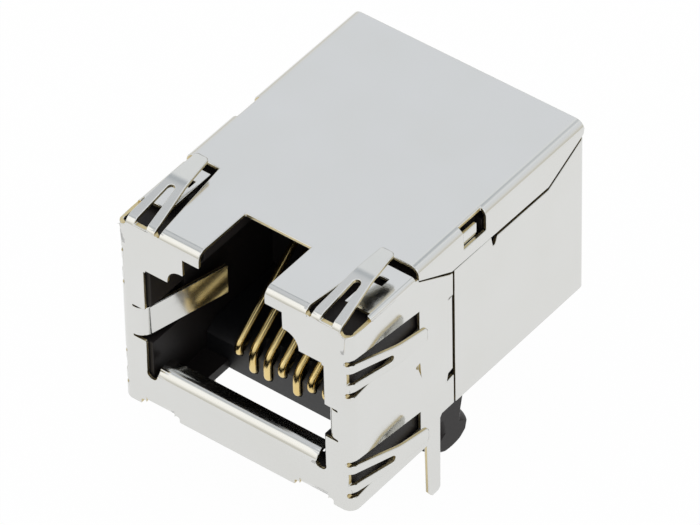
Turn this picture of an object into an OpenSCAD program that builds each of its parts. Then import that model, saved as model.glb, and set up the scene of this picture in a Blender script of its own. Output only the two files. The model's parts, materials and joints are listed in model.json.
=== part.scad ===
// Shielded modular board jack: one port, latch side up, with built-in magnetics.
// The origin lies midway between the two snap pegs, on the plane of the board's top.
// +Z points up from the board and -Y points out of the plug opening. Millimetres.

/* [Shield] */
// Width over the shield's sides
shield_w = 16; // [15.6:0.1:17]
// Height of the top above the board
shield_h = 13.5; // [13.3:0.1:15]
// Depth from the front face to the back face
shield_d = 21.1; // [20.6:0.1:25]
// Thickness of the sheet
sheet = 0.25; // [0.2:0.01:0.28]
// Outer radius of the folds round the front face
front_fold = 0.65; // [0.5:0.05:0.75]
// Outer radius of the folds along the top's sides
side_fold = 0.6; // [0.5:0.05:0.9]
// Outer radius of the rear cap's upright corners
rear_fold = 0.35; // [0.3:0.05:0.8]
// Depth of the side panels, up to the seam with the rear cap
panel_d = 9.15; // [8.95:0.05:9.6]
// Gap at the seams between the front shield and the rear cap
seam_gap = 0.15; // [0.1:0.01:0.25]
// Height of the rear cap's lower edge above the board
rear_clear = 1.4; // [1.2:0.1:2]

/* [Plug opening] */
// Width of the opening in the front face
opening_w = 12.4; // [12:0.1:12.6]
// Height of the opening's upper shoulders above the board
opening_top = 10.2; // [10:0.1:10.4]
// Height of the lip below the opening
lip_h = 3.1; // [2.8:0.1:3.4]
// Depth of the rolled lip
lip_d = 1.3; // [1:0.1:1.6]
// Outer radius of the lip's roll
lip_fold = 0.8; // [0.6:0.05:0.9]
// Width of the rolled lip
lip_w = 11; // [10:0.1:11.2]
// Width of the latch notch in the top
notch_w = 4.5; // [4:0.1:5]
// Depth of the latch notch in the top
notch_d = 4.15; // [3:0.05:4.6]
// Width of the latch guide below the notch
guide_w = 6.8; // [6.4:0.1:7]
// Height of the latch guide's roof above the board
guide_top = 12.42; // [12.2:0.02:12.6]

/* [Contact fingers] */
// Width of a finger at its root
finger_w = 2.15; // [1.9:0.05:2.3]
// Width of a finger at its bend, where its two legs have met
finger_waist_w = 1.4; // [1.2:0.05:1.5]
// Width of a finger at its free end
finger_tip_w = 0.95; // [0.8:0.05:1.1]
// Distance of a finger's free end from the front face
finger_reach = 5.65; // [5:0.05:5.8]
// Slope of a finger's legs away from the shield
finger_flare = 15; // [10:0.5:17]
// Bend of a finger back towards the shield
finger_bend = 10; // [6:0.5:12]
// Width of the slits round a finger
finger_slit = 0.22; // [0.15:0.01:0.3]
// Width of the slot between a finger's two legs
leg_slot = 0.74; // [0.6:0.02:0.8]
// Height of the upper side finger's centre line above the board
side_finger_z = 9.75; // [9.6:0.05:9.9]
// Distance between the two side fingers' centre lines
side_finger_pitch = 7.44; // [7.2:0.02:7.5]
// Distance of the top fingers' centre lines from the middle
top_finger_x = 6.35; // [6.3:0.05:6.4]
// Distance of the bottom fingers' centre lines from the middle
bottom_finger_x = 5.35; // [5.2:0.05:5.5]
// Reach of the bottom fingers, which are shorter
bottom_reach = 4.4; // [3.6:0.1:4.8]
// Outer radius of the bottom fingers' folds
bottom_fold = 0.8; // [0.6:0.05:0.9]

/* [Plug springs] */
// Height of a plug spring's centre line above the board
spring_z = 6.05; // [5.9:0.05:6.3]
// Height of a plug spring
spring_h = 2.05; // [1.8:0.05:2.2]
// Outer radius of a plug spring's fold
spring_fold = 0.8; // [0.6:0.05:0.9]
// Slope of a plug spring from straight back
spring_slope = 14; // [10:0.5:16]
// Depth of a plug spring's free end
spring_reach = 5.75; // [4.8:0.05:6]

/* [Ground legs] */
// Width of a ground leg
leg_w = 1.2; // [0.9:0.05:1.4]
// Length of a ground leg below the board's top
leg_l = 4.1; // [3.4:0.1:4.4]
// Distance of a ground leg's middle from the front face
leg_y = 7.3; // [7.1:0.05:7.5]

/* [Housing] */
// Clearance between the housing and the shield
fit = 0.1; // [0.05:0.01:0.15]
// Width of the plug cavity
cavity_w = 11.9; // [11.8:0.05:12]
// Depth of the plug cavity from the front face
cavity_d = 10.9; // [10.7:0.1:11.4]
// Thickness of the wall behind the plug cavity
comb_wall = 1.5; // [1.2:0.1:1.6]
// Height of the housing's bottom above the board
floor_clear = 0.35; // [0.3:0.05:0.45]
// Width of the window in the housing's floor
floor_window_w = 8.72; // [8:0.02:9]

/* [Pegs] */
// Distance between the snap pegs
peg_pitch = 12.7; // [11.43:0.01:12.7]
// Distance of the snap pegs from the front face
peg_from_front = 9.4; // [9.3:0.05:9.8]
// Diameter of a peg's neck
peg_d = 2.9; // [2.7:0.05:3.05]
// Diameter of a peg over its barb
barb_d = 3.7; // [3.4:0.05:3.8]
// Length of a peg below the board's top
peg_l = 2.3; // [2.2:0.05:3]

/* [Contacts] */
// Distance between the contacts
contact_pitch = 1.02; // [1:0.01:1.04]
// Diameter of the contact wire
wire_d = 0.47; // [0.38:0.01:0.48]
// Rise of the contacts in the plug cavity over their run
contact_rise = 0.75; // [0.7:0.01:0.78]
// Distance of the contacts' front bends from the front face
contact_front = 4.5; // [4.4:0.05:4.7]
// Height of the short contacts' tails above the board
short_tail_z = 1.98; // [1.9:0.02:2.1]
// Height of the long contacts' tails above the board
long_tail_z = 1.18; // [1.1:0.02:1.3]
// Radius of the wire's lower bend, on its centre line
wire_bend = 0.3; // [0.26:0.01:0.35]
// Radius of the short contacts' upper bend, on its centre line
short_bend = 0.6; // [0.4:0.05:0.6]
// Radius of the long contacts' upper bend, on its centre line
long_bend = 1.2; // [0.6:0.05:1.3]
// How far the contacts reach into the comb behind the plug cavity
contact_grip = 0.45; // [0.3:0.05:0.6]
// How far the contacts' tails stand out behind the module board
tail_out = 0.3; // [0.2:0.05:0.35]

/* [Carrier] */
// Distance of the contact carrier's front from the front face
carrier_front = 4.85; // [4.8:0.05:5]
// Height of the contact carrier's top above the board
carrier_top = 2.9; // [2.7:0.05:3]

/* [Magnetics] */
// Thickness of the module board
board_t = 0.8; // [0.6:0.1:1]
// Gap between the module board and the wall in front of it
board_gap = 0.5; // [0.45:0.05:0.6]
// Bore of a ring core
core_bore = 2.4; // [2:0.1:2.6]
// Height of a ring core
core_h = 2.2; // [1.6:0.1:2.4]
// Thickness of the winding over the core
winding_t = 0.3; // [0.2:0.02:0.32]
// Number of turns on each core
turns = 12; // [8:1:14]
// Clearance between a winding and the tray's walls
core_clear = 0.3; // [0.2:0.05:0.6]
// Distance between neighbouring chips on the module board
chip_pitch = 2.4; // [2:0.1:3]
// Length of a chip resistor
chip_l = 1.6; // [1:0.1:2]
// Length of the capacitor
cap_l = 3.2; // [2:0.1:4.5]

/* [Board pins] */
// Number of board pins
pins = 8; // [8:1:8]
// Distance between neighbouring pins, across the jack
pin_pitch = 1.27; // [1.27:0.01:1.3]
// Distance between the two rows of pins
pin_row_gap = 2.54; // [2.5:0.01:2.6]
// Distance of the rear row of pins from the back face
pin_from_rear = 2.81; // [2.6:0.01:3]
// Diameter of a board pin
pin_d = 0.5; // [0.4:0.02:0.6]
// Length of a board pin below the board's top
pin_l = 3.4; // [3:0.1:3.8]

/* [Hidden] */
$fn = 48;
// Smallest overlap that lets a cut run clear through a face
eps = 0.02;
root_r = peg_d / 2 + 0.15;
root_top = rear_clear + 0.8;
contacts = 8;
knee_z = short_tail_z + 0.62;
foot_w = 1.6;
foot_inset = 0.4;
chip_h = 0.45;
cap_h = 1;
cap_t = 0.3;
cores = 4;
resistors = 4;
half_w = shield_w / 2;
inner_w = half_w - sheet;
body_w = inner_w - fit;
root_overlap = 0.1;

// Plug opening and lip
relief_w = (opening_w - lip_w) / 2 + eps;
relief_d = 0.5;
latch_hollow_d = 0.75 * cavity_d;
shoulder_r = 0.95;

// Corner where three walls of the shield meet, left open for the folds
corner_top = shield_h - front_fold;
corner_open_d = 1.95;

// Inward flange along the top of each side panel
flange_drop = 0.4;
flange_z = shield_h - flange_drop;
flange_fold = 0.3;
flange_in = 6;
flange_front = 2.2;
flange_hole = 0.6;
corner_round = 0.25;

// Fingers: where the slits end at the front, where a finger bends, and the window it leaves
slit_depth = 0.4;
slot_depth = 0.33;
slot_tip_w = 0.48;
slot_end = 0.54 * finger_reach;
finger_bend_r = 4;
window_w = finger_w + 2 * finger_slit;
window_tip_w = finger_tip_w + 0.4;

// Plug springs
spring_root_x = opening_w / 2 + spring_fold;

// Seams between the folded flanges of the top, the side panels and the rear cap
top_edge_y = 6.17;
flange_rear = top_edge_y - 0.3;
flap_front_z = shield_h - 0.85;
flap_z = shield_h - 2.3;
flap_slope_y = 9.04;
flap_rear_y = shield_d - 3.3;
rear_seam_gap = 0.22;

// Latch window in each side fold of the top, and the rear cap's latch behind it
latch_y = 10.15;
latch_w = 2;
latch_in = 0.42;
latch_low = 1.5;
tongue_top = shield_h - 0.5;
tongue_x = inner_w - fit / 2 - sheet / 2;

// Module bay behind the plug cavity
bay_front = cavity_d + comb_wall;
bay_w = 2 * body_w - 1.9;
board_front = bay_front + board_gap;
module_rear = shield_d - sheet - fit;
housing_top = shield_h - 0.8;
tray_front = board_front + board_t + 0.35;
tray_w = bay_w - 0.2;
tray_floor = 1.4;
tray_wall = 0.4;
core_x = tray_w / 4 - tray_wall / 4;
core_y = (tray_front + module_rear) / 2;
core_room = min(module_rear - tray_front, tray_w / 2 - tray_wall);
core_d = core_room - 2 * winding_t - 2 * core_clear;
winding_h = core_h + 2 * winding_t;
tray_top = rear_clear + 0.1 + tray_floor;
shelf_t = 0.6;
crown_w = 9.8;
crown_top = shield_h - sheet - fit / 2;
ledge_z = 1;
shelf_z = tray_top + winding_h + 0.5;
chip_z = shelf_z + 2 * shelf_t;

// Moves what is drawn from the front face's middle to the frame of the pegs.
module place() {
    translate([0, -peg_from_front, 0])
        children();
}

// Draws the children on both sides of the middle plane.
module both_sides() {
    children();
    mirror([1, 0, 0])
        children();
}

// Points on an arc from angle a0 to a1, in equal steps.
function arc(centre, r, a0, a1, steps = 6) = [
    for (i = [0:steps])
        let (a = a0 + (a1 - a0) * i / steps)
        centre + r * [cos(a), sin(a)]
];

function unit(v) = v / norm(v);
function left_of(v) = [-v[1], v[0]];

// Direction of a path at point i, taken between its neighbours.
function heading(path, i) =
    unit(path[min(i + 1, len(path) - 1)] - path[max(i - 1, 0)]);

// Outline of a strip of sheet that follows a path on its middle line.
function strip(path, t) = concat(
    [for (i = [0:len(path) - 1]) path[i] + left_of(heading(path, i)) * t / 2],
    [for (i = [len(path) - 1:-1:0]) path[i] - left_of(heading(path, i)) * t / 2]
);

// Extrudes an outline drawn in Y and Z along X.
module along_x(x0, x1) {
    translate([x0, 0, 0])
        rotate([90, 0, 90])
            linear_extrude(x1 - x0)
                children();
}

// Extrudes an outline drawn in X and Z along Y.
module along_y(y0, y1) {
    translate([0, y1, 0])
        rotate([90, 0, 0])
            linear_extrude(y1 - y0)
                children();
}

// Rectangle whose two upper corners are round.
module round_top(w, h, r) {
    translate([-w / 2, 0])
        square([w, h - r]);
    translate([-w / 2 + r, 0])
        square([w - 2 * r, h]);
    for (side = [-1, 1])
        translate([side * (w / 2 - r), h - r])
            circle(r);
}

// Wall of one sheet thickness along a round_top outline, open at the bottom.
module fold_over(w, h, r) {
    difference() {
        round_top(w, h, r);
        translate([0, -eps])
            round_top(w - 2 * sheet, h - sheet + eps, r - sheet);
    }
}

/* ---- Contact fingers ---- */

// Flat outline of a finger: along is its length and across its width, from its centre line.
function finger_outline(reach) = concat(
    [[-1, -finger_w / 2], [0.6, -finger_w / 2], [slot_end * reach / finger_reach, -finger_waist_w / 2]],
    arc([reach - 0.25, -finger_tip_w / 2 + 0.25], 0.25, -75, 0, 4),
    arc([reach - 0.25, finger_tip_w / 2 - 0.25], 0.25, 0, 75, 4),
    [[slot_end * reach / finger_reach, finger_waist_w / 2], [0.6, finger_w / 2], [-1, finger_w / 2]]
);

// Slot between a finger's legs, a little narrower at its round end.
module finger_slot(from, to) {
    centre = to - slot_tip_w / 2;
    knee = max(from + 0.1, 0.5);
    polygon([
        [from, -leg_slot / 2], [knee, -leg_slot / 2], [centre, -slot_tip_w / 2],
        [centre, slot_tip_w / 2], [knee, leg_slot / 2], [from, leg_slot / 2]
    ]);
    translate([centre, 0])
        circle(slot_tip_w / 2);
}

// Side view of sheet that turns back round a fold in the front face and runs on, leaning out.
module folded_strip(r, lean) {
    translate([-r - root_overlap, 0])
        square([root_overlap, sheet]);
    translate([-r, r]) {
        difference() {
            circle(r);
            circle(r - sheet);
            translate([-2 * r, -2 * r])
                square([2 * r, 4 * r]);
            translate([-2 * r, 0])
                square([4 * r, 4 * r]);
            rotate(-lean)
                square(2 * r);
        }
        rotate(-lean)
            translate([r - sheet, 0])
                children();
    }
}

// Side view of a finger behind its fold: straight legs, a bend and a straight tip.
function bent_run(legs, tip) =
    let (centre = [sheet - finger_bend_r, legs])
    let (out = [cos(finger_bend), sin(finger_bend)])
    concat(
        [[0, 0], [sheet, 0]],
        arc(centre, finger_bend_r, 0, finger_bend, 4),
        [centre + finger_bend_r * out + tip * left_of(out)],
        [centre + (finger_bend_r - sheet) * out + tip * left_of(out)],
        arc(centre, finger_bend_r - sheet, finger_bend, 0, 4)
    );

// One finger lying along +Y, with its root in the front face and its outside towards +X.
module finger(r, reach, slot_from) {
    intersection() {
        translate([0, 0, -finger_w])
            linear_extrude(2 * finger_w)
                folded_strip(r, finger_flare)
                    polygon(bent_run((0.58 * reach - r) / cos(finger_flare), reach));
        along_x(-2 * r, 3)
            difference() {
                polygon(finger_outline(reach));
                finger_slot(slot_from, slot_end * reach / finger_reach);
            }
    }
}

// Slit in the front face beside or between a finger's legs, with a round bottom.
module front_slit(across, w, depth) {
    round_r = min(w / 2, 0.18);
    flat = w / 2 - round_r;
    translate([round_r - depth, -1, across]) {
        translate([0, 0, -w / 2])
            cube([3, 1.6, w]);
        for (side = [-1, 1])
            translate([0, 0, side * flat])
                rotate([-90, 0, 0])
                    cylinder(h = 1.6, r = round_r);
        if (flat > 0)
            translate([-round_r, 0, -flat])
                cube([round_r, 1.6, 2 * flat]);
    }
}

// Space that a finger is cut from: the window behind the fold and the slits round its legs.
module finger_gap(r, window_end) {
    along_x(-slot_depth, 3)
        polygon([
            [0.05, -window_w / 2], [0.6, -window_w / 2], [window_end, -window_tip_w / 2],
            [window_end, window_tip_w / 2], [0.6, window_w / 2], [0.05, window_w / 2]
        ]);
    for (side = [-1, 1])
        front_slit(side * (finger_w + finger_slit) / 2, finger_slit, slit_depth);
    front_slit(0, leg_slot, slot_depth);
    translate([-slot_depth + 0.05, -1, -finger_w / 2 - eps])
        cube([3, 1 + r, finger_w + 2 * eps]);
}

// Puts a finger at each place where the shield has one, on the +X half.
module finger_places() {
    for (z = [side_finger_z, side_finger_z - side_finger_pitch])
        translate([half_w, 0, z])
            children(0);
    translate([top_finger_x, 0, shield_h])
        rotate([0, -90, 0])
            mirror([0, 0, 1])
                children(0);
    translate([bottom_finger_x, 0, 0])
        rotate([0, 90, 0])
            children(1);
}

/* ---- Front shield ---- */

// Outline of the front face and sides, seen from above.
module wrap_outline() {
    translate([0, panel_d])
        mirror([0, 1])
            fold_over(shield_w, panel_d, front_fold);
}

// Outline of a side panel with its ground leg, seen from the side.
module panel_outline() {
    leg_front = leg_y - leg_w / 2;
    leg_rear = leg_y + leg_w / 2;
    seam = flap_slope_y - seam_gap;
    polygon([
        [-1, 0], [leg_front, 0], [leg_front + 0.08, -leg_l + 0.45], [leg_front + 0.4, -leg_l],
        [leg_rear - 0.25, -leg_l], [leg_rear - 0.05, -leg_l + 0.2], [leg_rear, rear_clear - 0.15],
        [leg_rear + 0.15, rear_clear + 0.05], [panel_d, rear_clear + 0.05],
        [panel_d, flap_z - seam_gap], [seam, flap_z - seam_gap / 2],
        [top_edge_y, flap_front_z - seam_gap / 2], [top_edge_y - 0.05, flange_z - flange_fold],
        [corner_open_d, flange_z - flange_fold], [corner_open_d, corner_top], [-1, corner_top]
    ]);
}

// Front face and side panels, with the bent-in rear edge of each panel.
module wrap() {
    strip_z = [3.9, 9.4];
    strip_d = 0.5;
    strip_in = 0.06;
    difference() {
        intersection() {
            translate([0, 0, -leg_l - 1])
                linear_extrude(corner_top + leg_l + 1)
                    wrap_outline();
            along_x(-half_w - 1, half_w + 1)
                panel_outline();
        }
        both_sides()
            along_x(inner_w - 1, half_w + 1)
                polygon([
                    [panel_d + 1, strip_z[0] - 0.2], [panel_d + 1, strip_z[1] + 0.12],
                    [panel_d - strip_d + 0.1, strip_z[1] + 0.12],
                    [panel_d - strip_d - 0.2, strip_z[1] - 0.25], [panel_d - strip_d, strip_z[1] - 0.15],
                    [panel_d - strip_d, strip_z[0] + 0.1], [panel_d - strip_d - 0.12, strip_z[0] - 0.45]
                ]);
    }
    both_sides()
        translate([0, 0, strip_z[0] + 0.1])
            linear_extrude(strip_z[1] - strip_z[0] - 0.1)
                polygon(strip([
                    [half_w - sheet / 2, panel_d - strip_d - 0.3],
                    [half_w - sheet / 2, panel_d - strip_d],
                    [half_w - sheet / 2 - strip_in, panel_d - 0.03]
                ], sheet));
}

// Top sheet between the fingers, with its fold down into the front face.
module front_top() {
    strip_w = 2 * (top_finger_x + finger_w / 2 + finger_slit);
    along_x(-strip_w / 2, strip_w / 2)
        difference() {
            translate([0, corner_top - 1])
                square([top_edge_y + 1, shield_h - corner_top + 1 - front_fold]);
            translate([sheet, corner_top - 2])
                square([top_edge_y + 1, shield_h - corner_top + 2]);
        }
    along_x(-strip_w / 2, strip_w / 2)
        intersection() {
            difference() {
                translate([front_fold, shield_h - front_fold])
                    circle(front_fold);
                translate([front_fold, shield_h - front_fold])
                    circle(front_fold - sheet);
            }
            translate([0, shield_h - front_fold - eps])
                square(front_fold + eps);
        }
    translate([-strip_w / 2, front_fold, shield_h - sheet])
        cube([strip_w, top_edge_y - front_fold + eps, sheet]);
}

// Outline of the top's side flaps, seen from the side.
module flap_outline() {
    polygon([
        [top_edge_y, flap_front_z], [flap_slope_y, flap_z], [flap_rear_y, flap_z - 0.15],
        [shield_d - 0.1, flap_front_z], [shield_d, flap_front_z + 0.4], [shield_d, shield_h + 1],
        [top_edge_y, shield_h + 1]
    ]);
}

// Rear stretch of the top, folded down at both sides into flaps with a latch window.
module top_with_flaps() {
    difference() {
        intersection() {
            along_y(top_edge_y, shield_d)
                fold_over(shield_w, shield_h, side_fold);
            along_x(-half_w - 1, half_w + 1)
                flap_outline();
        }
        both_sides()
            translate([half_w - latch_in, latch_y, shield_h - latch_low])
                cube([latch_in + 1, latch_w, latch_low + 1]);
    }
}

// Inward flange on top of a side panel, with a hole below the top finger.
module side_flange() {
    difference() {
        union() {
            intersection() {
                along_y(corner_open_d, flange_rear)
                    fold_over(shield_w, flange_z, flange_fold);
                translate([half_w - flange_fold, 0, flange_z - flange_fold - root_overlap])
                    cube([flange_fold + 1, top_edge_y, 2]);
            }
            translate([flange_in, flange_front, flange_z - sheet])
                cube([half_w - flange_fold - flange_in + eps, flange_rear - flange_front, sheet]);
        }
        translate([flange_in + flange_hole / 2, flange_front + 2.1, flange_z - 1])
            cube([flange_hole, flange_hole, 2]);
    }
}

// Open corner between the front face, the top and a side, with a round inner corner.
module corner_opening() {
    along_y(-1, top_edge_y + 1)
        translate([top_finger_x + finger_w / 2, corner_top]) {
            translate([0, corner_round])
                square([half_w, 3]);
            translate([corner_round, 0])
                square([half_w, 3]);
            translate([corner_round, corner_round])
                circle(corner_round);
        }
}

// Opening in the front face: plug, latch guide, latch notch and the lip's relief cuts.
module opening_outline() {
    relief_x = lip_w / 2 + relief_w / 2;
    translate([-opening_w / 2, lip_h - relief_d])
        square([opening_w, opening_top - lip_h + relief_d - 0.15]);
    translate([-lip_w / 2, lip_h - lip_fold])
        square([lip_w, lip_fold]);
    translate([-opening_w / 2 + 0.15, lip_h])
        square([opening_w - 0.3, opening_top - lip_h]);
    translate([-guide_w / 2, opening_top - 1])
        square([guide_w, guide_top - opening_top + 1]);
    for (side = [-1, 1]) {
        translate([side * (guide_w / 2 + 0.15), opening_top + 0.1])
            circle(shoulder_r);
        translate([side * relief_x, lip_h - relief_d])
            circle(relief_w / 2);
    }
    translate([-notch_w / 2, opening_top])
        square([notch_w, shield_h]);
}

// Rolled lip at the foot of the opening.
module lip() {
    along_x(-lip_w / 2, lip_w / 2) {
        translate([lip_fold, lip_h - lip_fold])
            difference() {
                circle(lip_fold);
                circle(lip_fold - sheet);
                translate([0, -2 * lip_fold])
                    square([2 * lip_fold, 4 * lip_fold]);
                translate([-2 * lip_fold, -2 * lip_fold])
                    square([4 * lip_fold, 2 * lip_fold]);
            }
        translate([lip_fold, lip_h - sheet])
            square([lip_d - lip_fold, sheet]);
        translate([0, lip_h - lip_fold - root_overlap])
            square([sheet, root_overlap]);
    }
}

// Slits above and below a plug spring, and the room for its fold, cut into the front face.
module spring_gap() {
    slit = 0.15;
    along_y(-1, 1) {
        translate([0, spring_z - spring_h / 2 - slit])
            square([spring_root_x, spring_h + 2 * slit]);
        for (side = [-1, 1])
            translate([spring_root_x, spring_z + side * (spring_h + slit) / 2])
                circle(slit / 2);
    }
}

// Spring that bends in from the opening's edge and presses on the plug's shield.
module plug_spring() {
    straight = (spring_reach - spring_fold * (1 - sin(spring_slope))) / cos(spring_slope);
    translate([spring_root_x - spring_fold, 0, spring_z - spring_h / 2])
        linear_extrude(spring_h)
            mirror([1, 0])
                folded_strip(spring_fold, spring_slope)
                    square([sheet, straight]);
}

// Shallow lanced pocket that keeps the side panel on the housing.
module panel_dimple() {
    translate([half_w, 5.65, 0])
        rotate([0, 0, 16])
            along_x(0, 1)
                polygon([[0, 6.55], [0.5, 6.62], [0.6, 5.37], [0.32, 6.26]]);
}

// Everything cut out of the folded sheet on the +X half.
module shield_cuts() {
    finger_places() {
        finger_gap(front_fold, top_edge_y);
        union() {
            finger_gap(bottom_fold, bottom_reach + 0.5);
            translate([-bottom_fold, -1, -finger_w / 2])
                cube([3, 2, finger_w]);
        }
    }
    spring_gap();
    panel_dimple();
}

module front_shield() {
    color([0.86, 0.86, 0.84])
        place() {
            difference() {
                union() {
                    wrap();
                    front_top();
                }
                both_sides() {
                    shield_cuts();
                    corner_opening();
                    translate([top_finger_x, front_fold, shield_h - sheet - eps])
                        cube([half_w, top_edge_y + 1, 3]);
                }
                along_y(-1, 1)
                    opening_outline();
                translate([-notch_w / 2, -1, guide_top])
                    cube([notch_w, notch_d + 1, 3]);
            }
            lip();
            top_with_flaps();
            both_sides() {
                side_flange();
                plug_spring();
                finger_places() {
                    finger(front_fold, finger_reach, -1);
                    finger(bottom_fold, bottom_reach, bottom_fold);
                }
            }
        }
}

/* ---- Rear cap ---- */

// Side outline of the rear cap, with a notch where its latch tongue starts.
module cap_outline() {
    cap_front = panel_d + seam_gap;
    polygon([
        [cap_front, rear_clear], [shield_d + 1, rear_clear], [shield_d + 1, flap_front_z - rear_seam_gap],
        [shield_d - 0.1, flap_front_z - rear_seam_gap], [flap_rear_y, flap_z - 0.15 - rear_seam_gap],
        [latch_y + 3, flap_z - 0.1 - rear_seam_gap], [latch_y + 2.8, flap_z - 0.8],
        [latch_y + 2.6, flap_z - 0.8], [latch_y + 2.45, flap_z - seam_gap / 2],
        [cap_front, flap_z - seam_gap / 2]
    ]);
}

module rear_shield() {
    color([0.84, 0.84, 0.82])
        place() {
            intersection() {
                linear_extrude(shield_h)
                    fold_over(shield_w, shield_d, rear_fold);
                along_x(-half_w - 1, half_w + 1)
                    cap_outline();
            }
            translate([-half_w + side_fold, shield_d - sheet, flap_z - 2])
                cube([shield_w - 2 * side_fold, sheet, shield_h - sheet - fit / 2 - flap_z + 2]);
            both_sides()
                along_y(latch_y + fit / 2, latch_y + latch_w - 0.7)
                    polygon(strip([
                        [half_w - sheet / 2, flap_z - 1.4], [half_w - sheet / 2, flap_z - 0.9],
                        [tongue_x, flap_z - 0.3], [tongue_x, shield_h - latch_low - 0.05],
                        [half_w - sheet, shield_h - latch_low + 0.4], [half_w - sheet, tongue_top]
                    ], sheet));
        }
}

/* ---- Housing ---- */

// Snap peg: wide root, neck, barb and lead-in.
module peg() {
    rotate_extrude()
        polygon([
            [0, -peg_l], [barb_d / 2 - 0.75, -peg_l], [barb_d / 2 - 0.4, -peg_l + 0.15],
            [barb_d / 2 - 0.1, -peg_l + 0.5], [barb_d / 2, -peg_l + 1.06],
            [peg_d / 2, -peg_l + 1.45], [peg_d / 2, -0.3], [root_r, 0.9],
            [root_r, root_top], [0, root_top]
        ]);
}

// Outline of the housing seen from above, with round corners inside the shield's folds.
module block_outline() {
    front = sheet + fit / 2;
    for (end = [[front, front_fold - sheet], [module_rear, rear_fold - sheet]])
        for (side = [-1, 1])
            translate([side * (body_w - end[1]), end[0] + (end[0] == front ? 1 : -1) * end[1]])
                circle(end[1]);
    translate([-body_w, front + front_fold])
        square([2 * body_w, module_rear - rear_fold - front - front_fold]);
    translate([front_fold - sheet - body_w, front])
        square([2 * (body_w - front_fold + sheet), front_fold + eps]);
    translate([rear_fold - sheet - body_w, module_rear - rear_fold - eps])
        square([2 * (body_w - rear_fold + sheet), rear_fold + eps]);
    translate([-body_w, front + front_fold - sheet])
        square([2 * body_w, sheet + eps]);
    translate([-body_w, module_rear - rear_fold - eps])
        square([2 * body_w, sheet + eps]);
}

// Hollow for the plug, its latch and the latch's way out at the top.
module plug_hollow() {
    translate([-cavity_w / 2, 0, carrier_top + 0.05])
        cube([cavity_w, cavity_d, opening_top - carrier_top]);
    translate([-guide_w / 2 - 0.1, 0, opening_top - 1])
        cube([guide_w + 0.2, latch_hollow_d, guide_top + 0.1 - opening_top + 1]);
    both_sides()
        along_y(0, latch_hollow_d)
            translate([guide_w / 2 + 0.15, opening_top + 0.1])
                circle(shoulder_r + 0.08);
    translate([-notch_w / 2 - 0.1, -1, guide_top - 1])
        cube([notch_w + 0.2, latch_hollow_d + 1, 4]);
}

// Pocket beside the plug hollow that each plug spring moves in.
module spring_pocket() {
    translate([0, -1, spring_z - spring_h / 2 - 0.3])
        cube([spring_root_x + 0.1, 4.2, spring_h + 0.6]);
}

module housing() {
    slot_w = wire_d + 0.16;
    color([0.09, 0.09, 0.1])
        place() {
            difference() {
                union() {
                    translate([0, 0, floor_clear])
                        linear_extrude(housing_top - fit - floor_clear)
                            intersection() {
                                block_outline();
                                translate([-body_w, 0])
                                    square([2 * body_w, peg_from_front + 0.2]);
                            }
                    translate([0, 0, rear_clear + 0.1])
                        linear_extrude(housing_top - fit - rear_clear - 0.1)
                            block_outline();
                    translate([-crown_w / 2, front_fold, housing_top - 1])
                        cube([crown_w, module_rear - front_fold, crown_top - housing_top + 1]);
                }
                plug_hollow();
                both_sides() {
                    spring_pocket();
                    translate([half_w - 3 * sheet - fit, latch_y - 0.2, flap_z - 1.8])
                        cube([1, latch_w + 0.2, 4]);
                    translate([inner_w - 0.45, panel_d - 0.7, 3.5])
                        cube([1, 0.9, 6.3]);
                    translate([bottom_finger_x - finger_w / 2 - 0.2, -1, -1])
                        cube([finger_w + 0.4, bottom_fold + 1.15, bottom_fold + 1.15]);
                }
                translate([-cavity_w / 2, -1, lip_h - lip_fold - root_overlap - fit])
                    cube([cavity_w, lip_d + 1 + fit, 5]);
                translate([-cavity_w / 2, lip_d, ledge_z])
                    cube([cavity_w, carrier_front, 5]);
                translate([-floor_window_w / 2, lip_d, -1])
                    cube([floor_window_w, carrier_front - lip_d, 5]);
                translate([-cavity_w / 2, carrier_front - eps, -1])
                    cube([cavity_w, bay_front - carrier_front + 1, carrier_top + 1.05]);
                for (i = [0:contacts - 1])
                    translate([contact_x(i) - slot_w / 2, cavity_d - 1, 3.2])
                        cube([slot_w, 1.9, 5.2]);
                translate([-bay_w / 2, bay_front, -1])
                    cube([bay_w, module_rear, housing_top - 0.9]);
            }
            both_sides()
                translate([peg_pitch / 2, peg_from_front, 0])
                    intersection() {
                        peg();
                        translate([-5, -5, -5])
                            cube([5 + body_w - peg_pitch / 2, 10, 10]);
                    }
        }
}

/* ---- Contacts ---- */

function contact_x(i) = (i - (contacts - 1) / 2) * contact_pitch;

// The first, fourth, sixth and seventh contacts have the higher tails.
function is_short(i) = i == 0 || i == 3 || i == 5 || i == 6;
function tail_z(i) = is_short(i) ? short_tail_z : long_tail_z;

// Round wire along +Z: each run is a straight length, then the turn and radius of a bend.
module wire(runs, i = 0) {
    straight = runs[i][0];
    turn = runs[i][1];
    r = runs[i][2];
    cylinder(h = straight, d = wire_d);
    if (i < len(runs) - 1)
        translate([0, r, straight]) {
            rotate([90, 0, -90])
                rotate_extrude(angle = turn)
                    translate([r, 0])
                        circle(d = wire_d);
            rotate([-turn, 0, 0])
                translate([0, -r, 0])
                    wire(runs, i + 1);
        }
}

// Tail, upright front and slope of a contact, with the bends between them.
module contact(i) {
    tail_end = board_front + board_t + tail_out;
    front = contact_front + wire_d / 2;
    slope = atan(contact_rise);
    knee_turn = 90 - slope;
    knee_bend = is_short(i) ? short_bend : long_bend;
    knee_cut = knee_bend * tan(knee_turn / 2);
    run = cavity_d + contact_grip - front;
    color([0.83, 0.68, 0.33])
        place()
            translate([contact_x(i), tail_end, tail_z(i)])
                rotate([90, 0, 0])
                    wire([
                        [tail_end - front - wire_bend, 90, wire_bend],
                        [knee_z - tail_z(i) - wire_bend - knee_cut, knee_turn, knee_bend],
                        [run / cos(slope) - knee_cut]
                    ]);
}

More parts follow.
